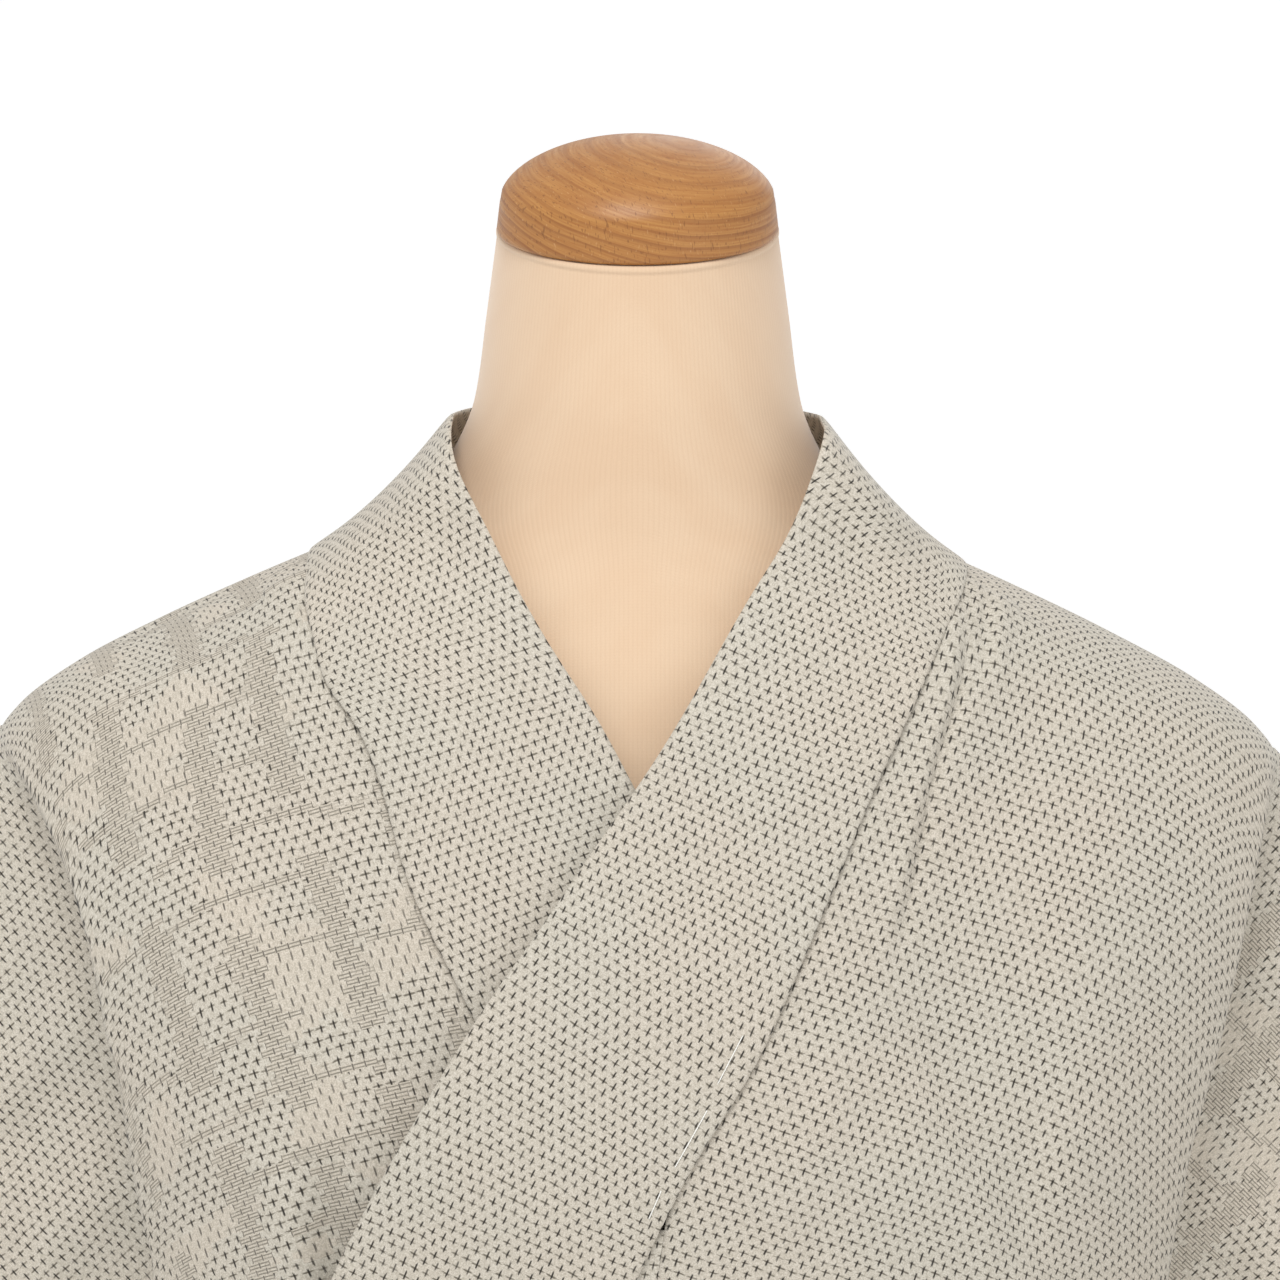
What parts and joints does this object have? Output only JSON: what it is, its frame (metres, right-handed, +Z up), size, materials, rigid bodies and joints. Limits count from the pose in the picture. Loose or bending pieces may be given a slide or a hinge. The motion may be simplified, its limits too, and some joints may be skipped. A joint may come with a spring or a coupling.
{
  "type": "kimono on a limbless dress form",
  "caption": "Full-length silk kimono with small woven crosses, wrapped left over right, worn by a limbless dress form with a wood neck cap on a round stand.",
  "frame": {"origin": "middle of the stand base's flat underside, on the floor", "axes": "+Z up, -Y to the garment's front, +X to the wearer's left"},
  "size_m": [0.8928, 0.35, 1.6341],
  "materials": {
    "silk": "plain-woven silk with woven-in crosses, soft sheen",
    "knit": "fine matt rib knit",
    "wood": "satin varnished beech",
    "steel": "satin steel"
  },
  "bodies": {
    "root": {"body_left": "silk", "body_right": "silk", "overlap_left": "silk", "overlap_right": "silk", "collar": "silk", "sleeve_left": "silk", "sleeve_right": "silk", "form_body": "knit", "form_cap": "wood", "stand_pole": "steel", "stand_base": "steel"}
  },
  "joints": []
}
